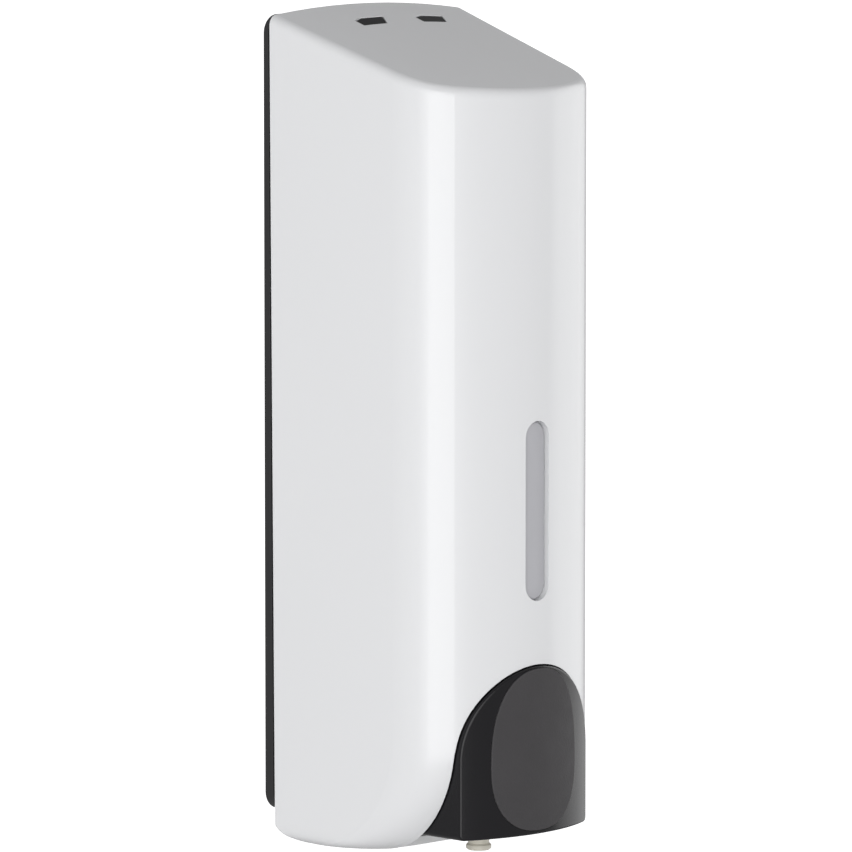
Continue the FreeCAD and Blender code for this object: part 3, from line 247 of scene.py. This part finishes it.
FINISHES = {
    "cover_white": glossy_moulding("abs_white_gloss", (0.755, 0.760, 0.770), 0.002, 0.27, 0.35),
    "lever_black": glossy_moulding("abs_black_polished", (0.0085, 0.0080, 0.0095), 0.06, 0.26, 0.10, 0.28),
    "plate_black": textured_moulding("abs_black_textured", (0.017, 0.017, 0.018),
                                     0.10, 0.48, 0.32 * MM, 0.012 * MM),
    "pad_grey": textured_moulding("pad_fine_texture", (0.043, 0.0405, 0.043),
                                  0.12, 0.66, 0.40 * MM, 0.050 * MM),
    "latch_black": textured_moulding("nylon_black", (0.006, 0.006, 0.0065),
                                     0.10, 0.50, 0.55 * MM, 0.006 * MM, 0.2),
    "inner_white": textured_moulding("polypropylene_white", (0.74, 0.74, 0.725),
                                     0.02, 0.40, 0.60 * MM, 0.006 * MM),
    "inner_grey": textured_moulding("acetal_grey", (0.26, 0.27, 0.28), 0.05, 0.36, 0.50 * MM, 0.005 * MM),
    "lens_frosted": clear_moulding("polycarbonate_frosted", (0.62, 0.62, 0.65), 0.42, 0.30, 0.45 * MM),
    "tank_translucent": clear_moulding("polyethylene_translucent", (0.82, 0.84, 0.83),
                                       0.45, 0.55, 0.9 * MM),
    "seal_rubber": rubber("rubber_black", (0.020, 0.020, 0.021), 0.70),
    "nozzle_silicone": rubber("silicone_cream", (0.68, 0.65, 0.56), 0.42),
    "steel": metal("steel_zinc_plated", (0.60, 0.60, 0.61), 0.34, 0.8 * MM, 0.004 * MM),
    "spring_steel": metal("steel_spring_wire", (0.50, 0.50, 0.51), 0.28, 0.4 * MM, 0.002 * MM),
    "polished_steel": metal("steel_ball_polished", (0.76, 0.76, 0.77), 0.08, 1.2 * MM, 0.0005 * MM),
}

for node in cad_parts.values():
    for place in node.material_slots:
        place.material = FINISHES[place.material.name]


# ---------------------------------------------------------------- springs

STEPS_PER_TURN = 40     # rings of points along each turn of a spring
WIRE_SIDES = 14         # points around the wire
FLAT_SHARE = 0.6        # share of each end turn that lies nearly flat
FLAT_RISE = 0.18        # share of the spring's length that rises evenly, flat ends included
PUMP_TURNS = 7
LATCH_TURNS = 6


def spring_mesh(name, start, along, side, radius, wire, length, turns):
    """Helical spring of round wire whose closed end coils lie flat against what they push on."""
    along, side = Vector(along), Vector(side)
    across = along.cross(side)
    end_share = 1.0 / turns
    steps = STEPS_PER_TURN * turns
    mesh = bmesh.new()
    rings = []
    for step in range(steps + 1):
        share = step / steps
        turn = 2 * math.pi * turns * share
        rise = min(max((share - end_share * FLAT_SHARE) / (1 - 2 * FLAT_SHARE * end_share), 0.0), 1.0)
        lift = wire + (length - 2 * wire) * (rise * (1 - FLAT_RISE) + share * FLAT_RISE)
        outward = side * math.cos(turn) + across * math.sin(turn)
        middle = Vector(start) + along * lift + outward * radius
        points = []
        for corner in range(WIRE_SIDES):
            angle = 2 * math.pi * corner / WIRE_SIDES
            rim = outward * wire * math.cos(angle) + along * wire * math.sin(angle)
            points.append(mesh.verts.new(middle + rim))
        rings.append(points)
    for first, second in zip(rings, rings[1:]):
        for corner in range(WIRE_SIDES):
            after = (corner + 1) % WIRE_SIDES
            mesh.faces.new((first[corner], first[after], second[after], second[corner]))
    mesh.faces.new(list(reversed(rings[0])))
    mesh.faces.new(rings[-1])
    bmesh.ops.recalc_face_normals(mesh, faces=mesh.faces)
    data = bpy.data.meshes.new(name)
    mesh.to_mesh(data)
    mesh.free()
    data.shade_smooth()
    spring = bpy.data.objects.new(name, data)
    bpy.context.scene.collection.objects.link(spring)
    data.materials.append(FINISHES["spring_steel"])
    return spring


PUMP_WIRE = 0.5 * MM
low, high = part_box("pump_spring")
pump_length = high.y - low.y
pump_radius = (high.z - low.z) / 2 - PUMP_WIRE
pump_start = Vector(((low.x + high.x) / 2, high.y, (low.z + high.z) / 2))
pump_coil = spring_mesh("pump_spring_coil", pump_start, (0, -1, 0), (1, 0, 0),
                        pump_radius, PUMP_WIRE, pump_length, PUMP_TURNS)
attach(pump_coil, "frame")
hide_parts("pump_spring")
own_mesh(pump_coil)

LATCH_WIRE = 0.25 * MM
low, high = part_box("latch_springs")
latch_length = high.z - low.z
latch_radius = (high.y - low.y) / 2 - LATCH_WIRE
latch_sides = (("left", low.x + latch_radius + LATCH_WIRE), ("right", high.x - latch_radius - LATCH_WIRE))
for side_name, side_x in latch_sides:
    start = Vector((side_x, (low.y + high.y) / 2, low.z))
    coil = spring_mesh("latch_spring_" + side_name, start, (0, 0, 1), (1, 0, 0),
                       latch_radius, LATCH_WIRE, latch_length, LATCH_TURNS)
    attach(coil, "cover")
    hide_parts("latch_springs")
    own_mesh(coil)


# ---------------------------------------------------------------- studio

def backdrop_material():
    shader = Shader("studio_paper")
    plain_mix(shader, (0.93, 0.93, 0.93), 0.005, 0.4)
    shader.roughness(shader.between(shader.noise(0.02), 0.8, 0.9))
    shader.set(Emission_Color=(1, 1, 1, 1), Emission_Strength=0.9)
    shader.bump((shader.noise(4 * MM), 0.02 * MM))
    return shader.material


def sweep(radius, floor, bend, height, around=64, arc=12):
    """Round studio sweep: a flat floor that bends up into a tall plain wall."""
    profile = [(0.02, floor)]
    for step in range(arc + 1):
        angle = math.radians(90) * step / arc
        profile.append((radius - bend + bend * math.sin(angle), floor + bend - bend * math.cos(angle)))
    profile.append((radius, floor + height))
    mesh = bmesh.new()
    rings = []
    for reach, z in profile:
        angles = [2 * math.pi * step / around for step in range(around)]
        rings.append([mesh.verts.new((reach * math.cos(a), reach * math.sin(a), z)) for a in angles])
    mesh.faces.new(rings[0])
    for inner, outer in zip(rings, rings[1:]):
        for step in range(around):
            after = (step + 1) % around
            mesh.faces.new((inner[step], outer[step], outer[after], inner[after]))
    bmesh.ops.recalc_face_normals(mesh, faces=mesh.faces)
    data = bpy.data.meshes.new("studio_sweep")
    mesh.to_mesh(data)
    mesh.free()
    data.shade_smooth()
    data.materials.append(backdrop_material())
    backdrop = bpy.data.objects.new("studio_sweep", data)
    bpy.context.scene.collection.objects.link(backdrop)
    backdrop.visible_diffuse = False
    backdrop.visible_glossy = False
    backdrop.visible_transmission = False
    return backdrop


sweep(radius=7.0, floor=-1.3, bend=1.5, height=8.5)

MIDDLE = (CAD_BOX[0] + CAD_BOX[1]) / 2


def direction(bearing, height):
    """Unit vector: bearing in degrees from -X towards -Y, height in degrees above the horizon."""
    level = math.cos(math.radians(height))
    return Vector((-level * math.cos(math.radians(bearing)),
                   -level * math.sin(math.radians(bearing)),
                   math.sin(math.radians(height))))


def softbox(name, bearings, heights, brightness, mirrored=True, distance=1.2):
    """Rectangular soft light that fills the given span of bearings and heights, in degrees.

    A light that is not mirrored brightens matt faces, but makes no reflection in shiny ones.
    """
    bearing = sum(bearings) / 2
    height = sum(heights) / 2
    away = direction(bearing, height)
    light = bpy.data.lights.new(name, "AREA")
    light.shape = "RECTANGLE"
    light.size = 2 * distance * math.tan(math.radians(bearings[1] - bearings[0]) / 2)
    light.size_y = 2 * distance * math.tan(math.radians(heights[1] - heights[0]) / 2)
    light.energy = brightness * math.pi * light.size * light.size_y
    lamp = bpy.data.objects.new(name, light)
    lamp.location = MIDDLE + away * distance
    lamp.rotation_mode = "QUATERNION"
    lamp.rotation_quaternion = away.to_track_quat("Z", "Y")
    lamp.visible_camera = False
    lamp.visible_glossy = mirrored
    bpy.context.scene.collection.objects.link(lamp)


softbox("key_light", (30, 75), (-26, 30), 2.35)
softbox("key_soft_side", (18, 34), (-22, 30), 1.0)
softbox("left_fill", (-75, -5), (-30, 35), 0.75, mirrored=False)
softbox("front_fill", (95, 150), (-30, 35), 0.25, mirrored=False)
softbox("right_fill", (150, 193), (-25, 35), 1.05)

world = bpy.data.worlds.new("studio_air")
world.use_nodes = True
bpy.context.scene.world = world
air = world.node_tree
background = air.nodes["Background"]
coordinates = air.nodes.new("ShaderNodeTexCoord")
split = air.nodes.new("ShaderNodeSeparateXYZ")
ramp = air.nodes.new("ShaderNodeValToRGB")
scaled = air.nodes.new("ShaderNodeMapRange")
scaled.inputs["From Min"].default_value = -1.0
air.links.new(coordinates.outputs["Generated"], split.inputs[0])
air.links.new(split.outputs["Z"], scaled.inputs["Value"])
air.links.new(scaled.outputs["Result"], ramp.inputs["Fac"])
air.links.new(ramp.outputs["Color"], background.inputs["Color"])
ramp.color_ramp.interpolation = "EASE"
# Brightness of the surrounding air, from straight below at 0 to straight above at 1.
AIR = ((0.0, 0.46), (0.46, 0.42), (0.56, 0.45), (1.0, 0.31))
while len(ramp.color_ramp.elements) < len(AIR):
    ramp.color_ramp.elements.new(0.5)
for element, (position, grey) in zip(ramp.color_ramp.elements, AIR):
    element.position = position
    element.color = (grey, grey, grey * 1.01, 1)

bpy.context.scene.view_settings.view_transform = "Standard"

# The camera stands two metres away on the diagonal, a little above the object.
CAMERA_PLACE = Vector((-1.4104, -1.4383, 0.1987))
CAMERA_TARGET = Vector((-0.0041, -0.0309, -0.0050))
SENSOR_WIDTH = 36.0     # millimetres, as is the focal length
FOCAL_LENGTH = 283.9
camera_data = bpy.data.cameras.new("camera")
camera_data.sensor_width = SENSOR_WIDTH
camera_data.lens = FOCAL_LENGTH
camera = bpy.data.objects.new("camera", camera_data)
camera.location = CAMERA_PLACE
camera.rotation_mode = "QUATERNION"
camera.rotation_quaternion = (CAMERA_TARGET - CAMERA_PLACE).to_track_quat("-Z", "Y")
bpy.context.scene.collection.objects.link(camera)
bpy.context.scene.camera = camera

bpy.context.view_layer.update()
